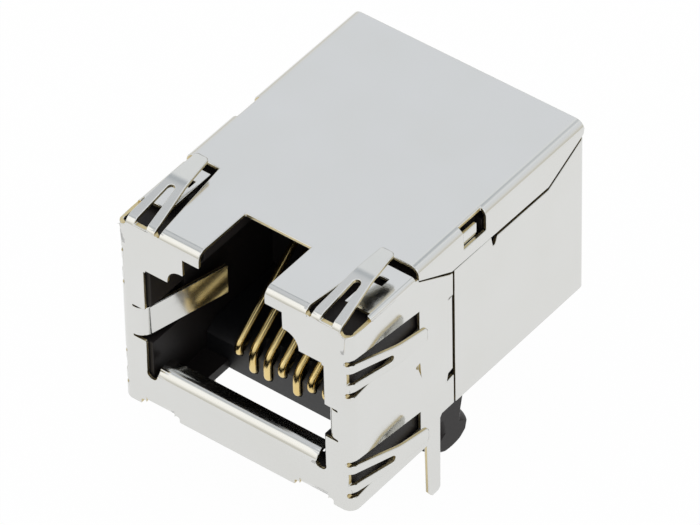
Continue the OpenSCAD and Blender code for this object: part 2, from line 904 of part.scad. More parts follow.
// Grey insert that holds the contacts' tails below the plug.
module contact_carrier() {
    half = cavity_w / 2 - 0.05;
    color([0.27, 0.27, 0.28])
        place()
            difference() {
                along_x(-half, half)
                    polygon([
                        [carrier_front, floor_clear], [carrier_front, 2.2],
                        [carrier_front + 0.9, carrier_top], [bay_front, carrier_top],
                        [bay_front, floor_clear]
                    ]);
                both_sides()
                    translate([peg_pitch / 2 - root_r - fit, peg_from_front - root_r - fit, -1])
                        cube([5, 2 * (root_r + fit), root_top + fit + 1]);
                for (i = [0:contacts - 1])
                    translate([contact_x(i), 0, tail_z(i)]) {
                        translate([0, bay_front + 1, 0])
                            rotate([90, 0, 0])
                                cylinder(h = bay_front, d = wire_d + 0.06);
                        translate([-wire_d / 2 - 0.06, carrier_front - 1, 0])
                            cube([wire_d + 0.12, 2, 3]);
                    }
            }
}

/* ---- Module ---- */

module module_board() {
    color([0.1, 0.38, 0.2])
        place()
            difference() {
                translate([-bay_w / 2 + 0.1, board_front, 0.6])
                    cube([bay_w - 0.2, board_t, housing_top - 2.7]);
                for (i = [0:contacts - 1])
                    translate([contact_x(i), board_front - 1, tail_z(i)])
                        rotate([-90, 0, 0])
                            cylinder(h = board_t + 2, d = wire_d + 0.1);
            }
}

// Tray for the ring cores, with two feet and bores for the board pins.
module coil_tray() {
    tray_d = module_rear - tray_front;
    foot_y = module_rear - foot_inset / 2 - foot_w;
    color([0.13, 0.13, 0.14])
        place()
            difference() {
                union() {
                    translate([-tray_w / 2, tray_front, tray_top - tray_floor])
                        cube([tray_w, tray_d, tray_floor]);
                    translate([-tray_w / 2, tray_front, shelf_z])
                        cube([tray_w, tray_d, shelf_t]);
                    both_sides() {
                        translate([tray_w / 2 - tray_wall, tray_front, rear_clear + 0.2])
                            cube([tray_wall, tray_d, shelf_z + winding_h - rear_clear]);
                        translate([tray_w / 2 - foot_inset - foot_w, foot_y, 0])
                            cube([foot_w, foot_w, rear_clear + 1]);
                    }
                }
                for (i = [0:pins - 1])
                    translate([pin_x(i), pin_y(i), -1])
                        cylinder(h = tray_top + 2, d = pin_d + 0.06);
            }
}

// Places the cores: two on the tray's floor and two on its shelf.
module core_place(i) {
    side = i % 2 == 0 ? -1 : 1;
    level = i < 2 ? tray_top : shelf_z + shelf_t;
    place()
        translate([side * core_x, core_y, level])
            children();
}

module core(i) {
    color([0.22, 0.22, 0.24])
        core_place(i)
            translate([0, 0, winding_t + 0.03])
                difference() {
                    cylinder(h = core_h - 0.06, d = core_d);
                    translate([0, 0, -1])
                        cylinder(h = core_h + 2, d = core_bore);
                }
}

// Turns of wire round a core, each a closed loop.
module winding(i) {
    color([0.72, 0.42, 0.2])
        core_place(i)
            for (turn = [0:turns - 1])
                rotate([0, 0, turn * 360 / turns])
                    rotate_extrude(angle = 180 / turns)
                        difference() {
                            translate([core_bore / 2 - winding_t, 0])
                                square([(core_d - core_bore) / 2 + 2 * winding_t, winding_h]);
                            translate([core_bore / 2 - 0.02, winding_t])
                                square([(core_d - core_bore) / 2 + 0.04, core_h]);
                        }
}

module resistor(i) {
    color([0.12, 0.12, 0.14])
        place()
            translate([(i - (resistors - 1) / 2) * chip_pitch - chip_l / 4, board_front - chip_h, chip_z])
                cube([chip_l / 2, chip_h, chip_l]);
}

module capacitor() {
    color([0.62, 0.5, 0.36])
        place()
            translate([-cap_l / 2, board_front + board_t, shelf_z + shelf_t + winding_h - cap_h])
                cube([cap_l, cap_t, cap_h]);
}

/* ---- Board pins ---- */

function pin_x(i) = (i - (pins - 1) / 2) * pin_pitch;
function pin_y(i) = shield_d - pin_from_rear - (1 - i % 2) * pin_row_gap;

module board_pin(i) {
    color([0.8, 0.8, 0.78])
        place()
            translate([pin_x(i), pin_y(i), -pin_l]) {
                translate([0, 0, 0.2])
                    cylinder(h = pin_l + tray_top - 0.3, d = pin_d);
                cylinder(h = 0.2, d1 = pin_d * 0.6, d2 = pin_d);
            }
}

front_shield();
rear_shield();
housing();
contact_carrier();
for (i = [0:contacts - 1])
    contact(i);
module_board();
coil_tray();
for (i = [0:cores - 1]) {
    core(i);
    winding(i);
}
for (i = [0:resistors - 1])
    resistor(i);
capacitor();
for (i = [0:pins - 1])
    board_pin(i);
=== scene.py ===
"""Shielded modular board jack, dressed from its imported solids.

The folded shield, the mouldings and the contact wires are finished copies of the
solids. Their edges get the small radius that stamping, moulding or forming leaves,
each face gets the finish that its surface has, and the slits beside the shield's
fingers get the width that they have at the fold.
"""

import json
import logging
import math
from dataclasses import dataclass, field
from enum import Enum

import bmesh
import bpy
from mathutils import Matrix, Vector
from mathutils.bvhtree import BVHTree

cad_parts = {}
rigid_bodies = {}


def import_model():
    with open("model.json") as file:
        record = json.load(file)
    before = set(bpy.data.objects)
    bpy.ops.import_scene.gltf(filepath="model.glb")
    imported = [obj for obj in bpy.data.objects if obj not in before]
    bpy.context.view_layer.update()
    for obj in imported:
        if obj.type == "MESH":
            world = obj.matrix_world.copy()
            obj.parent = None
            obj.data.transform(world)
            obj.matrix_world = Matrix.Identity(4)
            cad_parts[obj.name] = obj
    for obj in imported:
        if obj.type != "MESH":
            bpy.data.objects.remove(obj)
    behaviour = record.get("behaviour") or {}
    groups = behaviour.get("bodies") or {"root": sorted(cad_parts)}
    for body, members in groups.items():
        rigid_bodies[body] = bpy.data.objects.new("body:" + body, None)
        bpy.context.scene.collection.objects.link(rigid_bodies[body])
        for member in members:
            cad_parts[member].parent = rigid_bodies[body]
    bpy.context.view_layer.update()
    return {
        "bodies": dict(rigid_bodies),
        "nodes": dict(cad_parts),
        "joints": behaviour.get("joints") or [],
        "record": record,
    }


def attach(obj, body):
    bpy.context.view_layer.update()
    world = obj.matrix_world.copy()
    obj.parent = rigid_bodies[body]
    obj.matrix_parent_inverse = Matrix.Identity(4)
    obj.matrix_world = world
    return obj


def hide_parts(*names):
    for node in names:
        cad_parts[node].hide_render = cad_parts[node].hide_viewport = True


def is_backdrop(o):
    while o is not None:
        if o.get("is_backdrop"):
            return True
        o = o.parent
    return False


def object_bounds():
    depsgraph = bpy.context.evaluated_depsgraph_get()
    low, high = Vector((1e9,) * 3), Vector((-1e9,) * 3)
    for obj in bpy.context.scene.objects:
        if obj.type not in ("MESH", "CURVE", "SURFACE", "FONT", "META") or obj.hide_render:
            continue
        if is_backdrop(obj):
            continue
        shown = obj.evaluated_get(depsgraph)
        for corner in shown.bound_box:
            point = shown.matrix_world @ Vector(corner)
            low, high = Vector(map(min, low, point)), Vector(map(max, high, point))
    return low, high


LOG = logging.getLogger("board_jack")
MM = 0.001
# How far the jack's front face stands before the line of its pegs.
FRONT_FACE = 9.4 * MM
# Points of a mesh that lie closer than this are one point.
MERGE_DISTANCE = 0.003 * MM
# A cut through a mesh takes up points that lie closer to it than this.
SNAP_DISTANCE = MERGE_DISTANCE / 10
# Faces that turn by more than this have a hard edge between them.
HARD_ANGLE = math.radians(40)
# Faces that turn by less than this are parts of one flat.
FLAT_ANGLE = math.radians(1.2)
# How much large faces lead the shading round them; 50 is neutral.
FLAT_WEIGHT = 90
# Strips of faces that round an edge.
EDGE_SEGMENTS = 2
# Share of its radius by which a rounded edge may leave the surface.
STRAY_SHARE = 0.6
# Radii round a place where it leaves the surface by more, in which edges stay sharp.
STRAY_REACH = 3
# Size of the clouds in which a metal's colour drifts.
CLOUD_SIZE = 3.5 * MM
# How much rougher or smoother a moulded surface gets over its texture.
ROUGHNESS_DRIFT = 0.06


def srgb(code: str) -> tuple[float, float, float, float]:
    """Turns an sRGB hex value into Blender's linear colour.

    Args:
        code: Six hex digits, such as "c9a75a".

    Returns:
        Linear red, green and blue, with an alpha of 1.
    """
    channels = [int(code[i : i + 2], 16) / 255 for i in (0, 2, 4)]
    linear = [c / 12.92 if c <= 0.04045 else ((c + 0.055) / 1.055) ** 2.4 for c in channels]
    return (*linear, 1.0)


def add_node(
    tree: bpy.types.NodeTree,
    kind: str,
    inputs: dict[str, object] | None = None,
    **settings: object,
) -> bpy.types.Node:
    """Adds one node with its settings, values and links.

    Args:
        tree: The tree that gets the node.
        kind: Blender's name of the node type.
        inputs: Input name or number to a value, or to the socket that feeds it.
        settings: Properties to set on the node.

    Returns:
        The new node.
    """
    node = tree.nodes.new(kind)
    for name, value in settings.items():
        setattr(node, name, value)
    for name, value in (inputs or {}).items():
        if isinstance(value, bpy.types.NodeSocket):
            tree.links.new(value, node.inputs[name])
        else:
            node.inputs[name].default_value = value
    return node


class Finish(Enum):
    """The finishes of the jack's surfaces."""

    PLATE = "nickel_plated_sheet"
    CUT_EDGE = "sheared_brass_edge"
    HOUSING = "moulded_black_pbt"
    CARRIER = "moulded_grey_lcp"
    CONTACT = "gold_plated_wire"
    BOARD = "green_solder_mask"
    FERRITE = "sintered_ferrite"
    COPPER = "enamelled_copper"
    CHIP = "chip_resistor_glaze"
    CERAMIC = "ceramic_capacitor"
    PIN = "tinned_copper_pin"


@dataclass(frozen=True)
class MetalFinish:
    """A bare or plated metal surface.

    Attributes:
        finish: Which finish this is.
        colour: Its sRGB hex colour.
        tone: A second hex colour that it drifts towards.
        roughness: Roughness in its smooth places.
        spread: How much rougher it gets in its dull places.
        grain: Distance between rolling or drawing marks, in metres.
        stretch: How much longer than wide those marks are, along X, Y and Z.
        relief: Height of those marks, in metres.
    """

    finish: Finish
    colour: str
    tone: str
    roughness: float
    spread: float
    grain: float
    stretch: tuple[float, float, float] = (1.0, 1.0, 1.0)
    relief: float = 0.0

    def make(self) -> bpy.types.Material:
        """Builds the material.

        Returns:
            The new material.
        """
        material = bpy.data.materials.new(self.finish.value)
        material.use_nodes = True
        tree = material.node_tree
        surface = tree.nodes["Principled BSDF"]
        surface.inputs["Metallic"].default_value = 1.0
        place = add_node(tree, "ShaderNodeTexCoord").outputs["Object"]
        stretched = add_node(
            tree, "ShaderNodeMapping", {"Vector": place, "Scale": self.stretch}
        ).outputs["Vector"]
        marks = add_node(
            tree,
            "ShaderNodeTexNoise",
            {"Vector": stretched, "Scale": 1 / self.grain, "Detail": 3.0, "Roughness": 0.55},
        ).outputs["Fac"]
        clouds = add_node(
            tree,
            "ShaderNodeTexNoise",
            {"Vector": place, "Scale": 1 / CLOUD_SIZE, "Detail": 2.0, "Roughness": 0.5},
        ).outputs["Fac"]
        colour = add_node(
            tree,
            "ShaderNodeMix",
            {"Factor": clouds, 6: srgb(self.colour), 7: srgb(self.tone)},
            data_type="RGBA",
        ).outputs[2]
        dull = add_node(
            tree,
            "ShaderNodeMapRange",
            {
                "Value": marks,
                "From Min": 0.3,
                "From Max": 0.7,
                "To Min": self.roughness,
                "To Max": self.roughness + self.spread,
            },
        ).outputs["Result"]
        tree.links.new(colour, surface.inputs["Base Color"])
        tree.links.new(dull, surface.inputs["Roughness"])
        if self.relief:
            bump = add_node(
                tree, "ShaderNodeBump", {"Height": marks, "Distance": self.relief, "Strength": 1.0}
            ).outputs["Normal"]
            tree.links.new(bump, surface.inputs["Normal"])
        return material


@dataclass(frozen=True)
class PlasticFinish:
    """A moulded, glazed or coated surface that isn't metal.

    Attributes:
        finish: Which finish this is.
        colour: Its sRGB hex colour.
        tone: A second hex colour that it drifts towards.
        roughness: Its roughness.
        ior: Its index of refraction.
        gloss: Share of the usual reflection that its texture leaves.
        texture: Distance between the bumps of its moulded texture, in metres.
        relief: Height of those bumps, in metres.
    """

    finish: Finish
    colour: str
    tone: str
    roughness: float
    ior: float
    texture: float
    relief: float
    gloss: float = 0.5

    def make(self) -> bpy.types.Material:
        """Builds the material.

        Returns:
            The new material.
        """
        material = bpy.data.materials.new(self.finish.value)
        material.use_nodes = True
        tree = material.node_tree
        surface = tree.nodes["Principled BSDF"]
        surface.inputs["IOR"].default_value = self.ior
        surface.inputs["Specular IOR Level"].default_value = self.gloss
        place = add_node(tree, "ShaderNodeTexCoord").outputs["Object"]
        spark = add_node(
            tree,
            "ShaderNodeTexNoise",
            {"Vector": place, "Scale": 1 / self.texture, "Detail": 2.0, "Roughness": 0.6},
        ).outputs["Fac"]
        colour = add_node(
            tree,
            "ShaderNodeMix",
            {"Factor": spark, 6: srgb(self.colour), 7: srgb(self.tone)},
            data_type="RGBA",
        ).outputs[2]
        dull = add_node(
            tree,
            "ShaderNodeMapRange",
            {
                "Value": spark,
                "To Min": self.roughness - ROUGHNESS_DRIFT,
                "To Max": self.roughness + ROUGHNESS_DRIFT,
            },
        ).outputs["Result"]
        bump = add_node(
            tree, "ShaderNodeBump", {"Height": spark, "Distance": self.relief, "Strength": 1.0}
        ).outputs["Normal"]
        tree.links.new(colour, surface.inputs["Base Color"])
        tree.links.new(dull, surface.inputs["Roughness"])
        tree.links.new(bump, surface.inputs["Normal"])
        return material


# Bright nickel over rolled brass: a near mirror, veiled by fine rolling marks along the strip.
PLATE = MetalFinish(
    Finish.PLATE, "dededc", "dadad6", 0.11, 0.04, 0.5 * MM, (1, 0.25, 1), 0.0001 * MM
)
# Sheared after plating, so the bare brass shows, torn and a little dull.
CUT_EDGE = MetalFinish(Finish.CUT_EDGE, "e2d6ae", "c6b486", 0.3, 0.14, 0.2 * MM)
# Glass-filled PBT from a lightly sparked tool: deep black, with a soft sheen.
HOUSING = PlasticFinish(Finish.HOUSING, "1e1b1b", "262323", 0.4, 1.5, 0.12 * MM, 0.001 * MM, 0.17)
# Liquid-crystal polymer insert: dark grey and a little shinier, with flow marks.
CARRIER = PlasticFinish(Finish.CARRIER, "1d1d1f", "161618", 0.38, 1.55, 0.3 * MM, 0.001 * MM)
# Drawn bronze wire under a thin, hard gold: smooth and warm.
CONTACT = MetalFinish(Finish.CONTACT, "f2dda4", "e2c47c", 0.19, 0.06, 0.6 * MM)
# Green mask over glass cloth: glossy, and a little uneven over the weave.
BOARD = PlasticFinish(Finish.BOARD, "1f6a3a", "195a30", 0.3, 1.5, 0.5 * MM, 0.002 * MM)
# Sintered and tumbled ferrite: dull, dark and fine-grained.
FERRITE = PlasticFinish(Finish.FERRITE, "3b3b3f", "313135", 0.55, 2.0, 0.1 * MM, 0.002 * MM)
# Copper wire under clear enamel: warm and glossy.
COPPER = MetalFinish(Finish.COPPER, "b5622f", "9c4f24", 0.2, 0.06, 0.4 * MM)
# Glazed top of a thick-film resistor.
CHIP = PlasticFinish(Finish.CHIP, "1c1c20", "242428", 0.25, 1.55, 0.2 * MM, 0.0005 * MM)
# Fired barium titanate: matt tan.
CERAMIC = PlasticFinish(Finish.CERAMIC, "a98a63", "9c7d57", 0.5, 1.7, 0.15 * MM, 0.001 * MM)
# Dipped tin over copper: bright, with a slightly wavy skin.
PIN = MetalFinish(Finish.PIN, "d9d9d6", "cccbc6", 0.2, 0.1, 0.5 * MM, (1, 1, 0.4), 0.0005 * MM)

METALS = (PLATE, CUT_EDGE, CONTACT, COPPER, PIN)
PLASTICS = (HOUSING, CARRIER, BOARD, FERRITE, CHIP, CERAMIC)


def make_materials() -> dict[Finish, bpy.types.Material]:
    """Builds every finish once.

    Returns:
        The material of each finish.
    """
    return {item.finish: item.make() for item in METALS + PLASTICS}


def open_copy(frame: dict, node: str) -> bmesh.types.BMesh:
    """Copies a solid's mesh, with its loose triangles joined.

    Args:
        frame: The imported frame.
        node: The solid's node.

    Returns:
        The copy, as a bmesh.
    """
    work = bmesh.new()
    work.from_mesh(frame["nodes"][node].data)
    bmesh.ops.remove_doubles(work, verts=work.verts, dist=MERGE_DISTANCE)
    return work


def join_flats(work: bmesh.types.BMesh) -> None:
    """Makes each flat of one finish a single face.

    Args:
        work: The mesh to change.
    """
    bmesh.ops.dissolve_limit(
        work,
        angle_limit=FLAT_ANGLE,
        use_dissolve_boundaries=False,
        verts=work.verts,
        edges=work.edges,
        delimit={"MATERIAL", "SEAM"},
    )


def add_piece(
    work: bmesh.types.BMesh,
    name: str,
    materials: list[bpy.types.Material],
    smooth_below: float,
) -> bpy.types.Object:
    """Makes a bmesh into a shaded object.

    Args:
        work: The finished bmesh, which is freed.
        name: The object's name.
        materials: Its materials, in slot order.
        smooth_below: Angle in degrees under which an edge shades smooth.

    Returns:
        The new object.
    """
    mesh = bpy.data.meshes.new(name)
    work.to_mesh(mesh)
    work.free()
    for material in materials:
        mesh.materials.append(material)
    mesh.shade_smooth()
    mesh.set_sharp_from_angle(angle=math.radians(smooth_below))
    piece = bpy.data.objects.new(name, mesh)
    bpy.context.scene.collection.objects.link(piece)
    return piece


def shade_flats(piece: bpy.types.Object) -> None:
    """Makes a piece's large flats shade flat, next to its small radii.

    Args:
        piece: The piece.
    """
    flats = piece.modifiers.new("flats_shade_flat", "WEIGHTED_NORMAL")
    flats.weight = FLAT_WEIGHT
    flats.keep_sharp = True


def hard_edges(work: bmesh.types.BMesh) -> list[bmesh.types.BMEdge]:
    """Lists a closed mesh's hard edges.

    Args:
        work: The mesh.

    Returns:
        Its edges whose two faces turn by more than HARD_ANGLE.
    """
    return [
        edge
        for edge in work.edges
        if len(edge.link_faces) == 2 and edge.calc_face_angle() > HARD_ANGLE
    ]


def weigh_roomy_edges(work: bmesh.types.BMesh, radius: float) -> None:
    """Marks a mesh's hard edges for rounding, apart from those in corners too tight for it.

    A trial on a copy shows where the radius leaves the surface, and the edges round those
    places stay sharp.

    Args:
        work: The mesh to mark.
        radius: The radius, in metres.
    """
    surface = BVHTree.FromBMesh(work)
    trial = work.copy()
    bmesh.ops.bevel(
        trial,
        geom=hard_edges(trial),
        offset=radius,
        segments=EDGE_SEGMENTS,
        profile=0.5,
        affect="EDGES",
        material=-1,
    )
    limit = radius * STRAY_SHARE
    strays = [vert.co.copy() for vert in trial.verts if surface.find_nearest(vert.co)[3] > limit]
    trial.free()
    weight = work.edges.layers.float.new("bevel_weight_edge")
    reach = radius * STRAY_REACH
    for edge in hard_edges(work):
        tight = any((vert.co - stray).length < reach for vert in edge.verts for stray in strays)
        edge[weight] = 0.0 if tight else 1.0


def soften_edges(piece: bpy.types.Object, radius: float, marked: bool = False) -> None:
    """Gives a piece's hard edges the small radius that its making leaves.

    Args:
        piece: The piece.
        radius: The radius, in metres.
        marked: Whether only the edges marked for it are rounded, with the plating round them.
    """
    bevel = piece.modifiers.new("edge_radius", "BEVEL")
    bevel.width = radius
    bevel.segments = EDGE_SEGMENTS
    bevel.limit_method = "WEIGHT" if marked else "ANGLE"
    bevel.angle_limit = HARD_ANGLE
    bevel.harden_normals = True
    bevel.use_clamp_overlap = not marked
    bevel.material = 0 if marked else -1
    shade_flats(piece)


@dataclass(frozen=True)
class FingerRoot:
    """Where a contact finger leaves the shield's front face.

    Attributes:
        middle: Point of the front face's rim at the middle of the finger.
        out: Direction in which the finger leans.
        across: Direction of the finger's width.
    """

    middle: Vector
    out: Vector
    across: Vector


@dataclass
class FoldedShield:
    """The two plated sheet pieces: the front shield and the rear cap.

    Attributes:
        materials: The finishes.
        front: How far the front face stands before the line of the pegs, in metres.
        half_width: Half the shield's width without its fingers, in metres.
        height: Height of the top sheet above the board, in metres.
        side_fingers: Heights of the side fingers' middles, in metres.
        top_finger: Distance of a top finger's middle from the jack's, in metres.
        bottom_finger: The same for a bottom finger.
        stations: Distances from a finger's middle in the solid, in metres: its middle, the edge
            of its slot, its own edge, the slit's far edge and where the solid stays as it is.
        opened: Where those edges lie after the slot and slits are opened up.
        straight: Depth behind the front face up to which they are fully open, in metres.
        closed: Depth at which they keep the solid's width, in metres.
        rim_depth: How far in from a rim its slits' ends may lie, in metres.
        fold_depth: Depth behind the front face that holds the front folds, in metres.
        top_cut: Distance under the top at which the corner folds' facets are cut, in metres.
        sliver: Width under which two cut points of a facet become one, in metres.
        skin_depths: Least and greatest depth of the sheet's other skin, in sheet thicknesses.
        skin_start: Depth at which the search for it starts, in the same.
        skin_facing: Least cosine of the angle between the two skins.
        sheet: Thickness of the sheet, in metres.
        edge_radius: Radius of the stamped edges, in metres.
        smooth_below: Angle in degrees under which an edge shades smooth.
        nodes: The solids that these pieces stand for.
    """

    materials: dict[Finish, bpy.types.Material]
    front: float = FRONT_FACE
    half_width: float = 8.0 * MM
    height: float = 13.5 * MM
    side_fingers: tuple[float, ...] = (9.75 * MM, 2.31 * MM)
    top_finger: float = 6.35 * MM
    bottom_finger: float = 5.35 * MM
    stations: tuple[float, ...] = (0.0, 0.37 * MM, 1.075 * MM, 1.3 * MM, 1.6 * MM)
    opened: tuple[float, ...] = (0.0, 0.4 * MM, 0.985 * MM, 1.355 * MM, 1.6 * MM)
    straight: float = 0.6 * MM
    closed: float = 3.05 * MM
    rim_depth: float = 0.8 * MM
    fold_depth: float = 0.7 * MM
    top_cut: float = 0.9 * MM
    sliver: float = 0.03 * MM
    skin_depths: tuple[float, float] = (0.55, 1.3)
    skin_start: float = 0.02
    skin_facing: float = 0.8
    sheet: float = 0.25 * MM
    edge_radius: float = 0.055 * MM
    smooth_below: float = 32
    nodes: tuple[str, ...] = ("front_shield", "rear_shield")

    def build(self, frame: dict) -> list[bpy.types.Object]:
        """Builds both pieces.

        Args:
            frame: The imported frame.

        Returns:
            The finished pieces.
        """
        return [self._piece(frame, node) for node in self.nodes]

    def _piece(self, frame: dict, node: str) -> bpy.types.Object:
        """Builds one sheet piece with its skin and its sheared edges told apart.

        Args:
            frame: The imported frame.
            node: The solid that the piece stands for.

        Returns:
            The finished piece.
        """
        work = open_copy(frame, node)
        self._mark_cut_edges(work)
        if node == self.nodes[0]:
            self._open_slits(work)
            self._cut_long_facets(work)
        join_flats(work)
        weigh_roomy_edges(work, self.edge_radius)
        finishes = [self.materials[Finish.PLATE], self.materials[Finish.CUT_EDGE]]
        piece = add_piece(work, f"{node}_skin", finishes, self.smooth_below)
        soften_edges(piece, self.edge_radius, marked=True)
        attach(piece, "root")
        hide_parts(node)
        return piece

    def _finger_roots(self) -> list[FingerRoot]:
        """Lists the eight fingers' roots.

        Returns:
            Two roots on each side, and a left and a right one at the top and the bottom.
        """
        right, up = Vector((1, 0, 0)), Vector((0, 0, 1))
        roots = []
        for side in (-1, 1):
            for height in self.side_fingers:
                place = Vector((side * self.half_width, -self.front, height))
                roots.append(FingerRoot(place, right * side, up))
            for x, z, lean in ((self.top_finger, self.height, 1), (self.bottom_finger, 0.0, -1)):
                place = Vector((side * x, -self.front, z))
                roots.append(FingerRoot(place, up * lean, right))
        return roots

    def _open_slits(self, work: bmesh.types.BMesh) -> None:
        """Gives the fingers' slits and slots the width that they have at the fold.

        Args:
            work: The front shield's mesh.
        """
        for root in self._finger_roots():
            for vert in work.verts:
                place = vert.co - root.middle
                side = place.dot(root.across)
                in_depth = place.y <= self.closed and place.dot(root.out) >= -self.rim_depth
                if in_depth and abs(side) <= self.stations[-1]:
                    share = min(1.0, (self.closed - place.y) / (self.closed - self.straight))
                    moved = self._opened_side(abs(side)) - abs(side)
                    vert.co += root.across * (moved * share * math.copysign(1.0, side))

    def _cut_long_facets(self, work: bmesh.types.BMesh) -> None:
        """Cuts the front folds' long facets near the slots, so that their shading stays local.

        Args:
            work: The mesh to cut.
        """
        reach = self.stations[-1]
        cuts = [(Vector((0, 0, self.height - self.top_cut)), Vector((0, 0, 1)))]
        for root in self._finger_roots():
            cuts += [(root.middle + root.across * side, root.across) for side in (-reach, reach)]
        limit = self.fold_depth - self.front
        for place, normal in cuts:
            faces = [f for f in work.faces if all(v.co.y < limit for v in f.verts)]
            edges = list({edge for face in faces for edge in face.edges})
            verts = list({vert for face in faces for vert in face.verts})
            cut = bmesh.ops.bisect_plane(
                work,
                geom=verts + edges + faces,
                dist=SNAP_DISTANCE,
                plane_co=place,
                plane_no=normal,
            )["geom_cut"]
            for edge in (item for item in cut if isinstance(item, bmesh.types.BMEdge)):
                edge.seam = True
            crossings = [item for item in cut if isinstance(item, bmesh.types.BMVert)]
            bmesh.ops.remove_doubles(work, verts=crossings, dist=self.sliver)

    def _opened_side(self, side: float) -> float:
        """Gives the opened-up distance from a finger's middle for one in the solid.

        Args:
            side: The distance in the solid, in metres.

        Returns:
            Where a point at that distance lies after the opening, in metres.
        """
        pairs = list(zip(self.stations, self.opened))
        for (near, near_to), (far, far_to) in zip(pairs, pairs[1:]):
            if side <= far:
                return near_to + (far_to - near_to) * (side - near) / (far - near)
        return side

    def _mark_cut_edges(self, work: bmesh.types.BMesh) -> None:
        """Gives the second finish to faces that don't have the sheet's other skin behind them.

        Args:
            work: The mesh to mark.
        """
        work.normal_update()
        tree = BVHTree.FromBMesh(work)
        thinnest, thickest = (self.sheet * share for share in self.skin_depths)
        for face in work.faces:
            inside = -face.normal
            start = face.calc_center_median() + inside * (self.sheet * self.skin_start)
            _, far_normal, _, depth = tree.ray_cast(start, inside, thickest)
            faces_back = depth is not None and far_normal.dot(inside) > self.skin_facing
            face.material_index = 0 if faces_back and depth > thinnest else 1


@dataclass
class Mouldings:
    """The plastic pieces: housing, contact carrier and coil tray.

    Attributes:
        materials: The finishes.
        edge_radius: Radius of the moulded edges, in metres.
        smooth_below: Angle in degrees under which an edge shades smooth.
        finishes: Node to its finish and a material slot name, which is not used.
    """

    materials: dict[Finish, bpy.types.Material]
    edge_radius: float = 0.06 * MM
    smooth_below: float = 30
    finishes: dict[str, tuple[Finish, str]] = field(
        default_factory=lambda: {
            "housing": (Finish.HOUSING, "black_housing"),
            "contact_carrier": (Finish.CARRIER, "grey_carrier"),
            "coil_tray": (Finish.HOUSING, "tray_plastic"),
        }
    )

    def build(self, frame: dict) -> list[bpy.types.Object]:
        """Builds the plastic pieces.

        Args:
            frame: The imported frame.

        Returns:
            The finished pieces.
        """
        pieces = []
        for node, (finish, slot) in self.finishes.items():
            work = open_copy(frame, node)
            join_flats(work)
            name = f"{node}_moulding"
            piece = add_piece(work, name, [self.materials[finish]], self.smooth_below)
            soften_edges(piece, self.edge_radius)
            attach(piece, "root")
            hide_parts(node)
            pieces.append(piece)
        return pieces


@dataclass
class ContactRow:
    """The eight contact wires.

    Attributes:
        materials: The finishes.
        count: How many wires there are.
        edge_radius: Radius of the cut ends' edges, in metres.
        smooth_below: Angle in degrees under which an edge shades smooth.
    """

    materials: dict[Finish, bpy.types.Material]
    count: int = 8
    edge_radius: float = 0.05 * MM
    smooth_below: float = 50

    def build(self, frame: dict) -> list[bpy.types.Object]:
        """Builds the wires.

        Args:
            frame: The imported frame.

        Returns:
            The finished wires.
        """
        finishes = [self.materials[Finish.CONTACT]]
        wires = []
        for number in range(1, self.count + 1):
            node = f"contact_{number}"
            work = open_copy(frame, node)
            wire = add_piece(work, f"{node}_wire", finishes, self.smooth_below)
            soften_edges(wire, self.edge_radius)
            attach(wire, "root")
            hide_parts(node)
            wires.append(wire)
        return wires


@dataclass
class Module:
    """What the housing's rear bay holds, shown with the solids' own shapes.

    Attributes:
        materials: The finishes.
        finishes: Start of the node names to their finish.
    """

    materials: dict[Finish, bpy.types.Material]
    finishes: dict[str, Finish] = field(
        default_factory=lambda: {
            "module_board": Finish.BOARD,
            "core_": Finish.FERRITE,
            "winding_": Finish.COPPER,
            "resistor_": Finish.CHIP,
            "capacitor": Finish.CERAMIC,
            "board_pin_": Finish.PIN,
        }
    )

    def dress(self, frame: dict) -> list[bpy.types.Object]:
        """Gives each inner piece its finish.

        Args:
            frame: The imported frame.

        Returns:
            The dressed pieces.
        """
        dressed = []
        for node, piece in frame["nodes"].items():
            for start, finish in self.finishes.items():
                if node.startswith(start):
                    piece.data.materials.clear()
                    piece.data.materials.append(self.materials[finish])
                    dressed.append(piece)
        return dressed


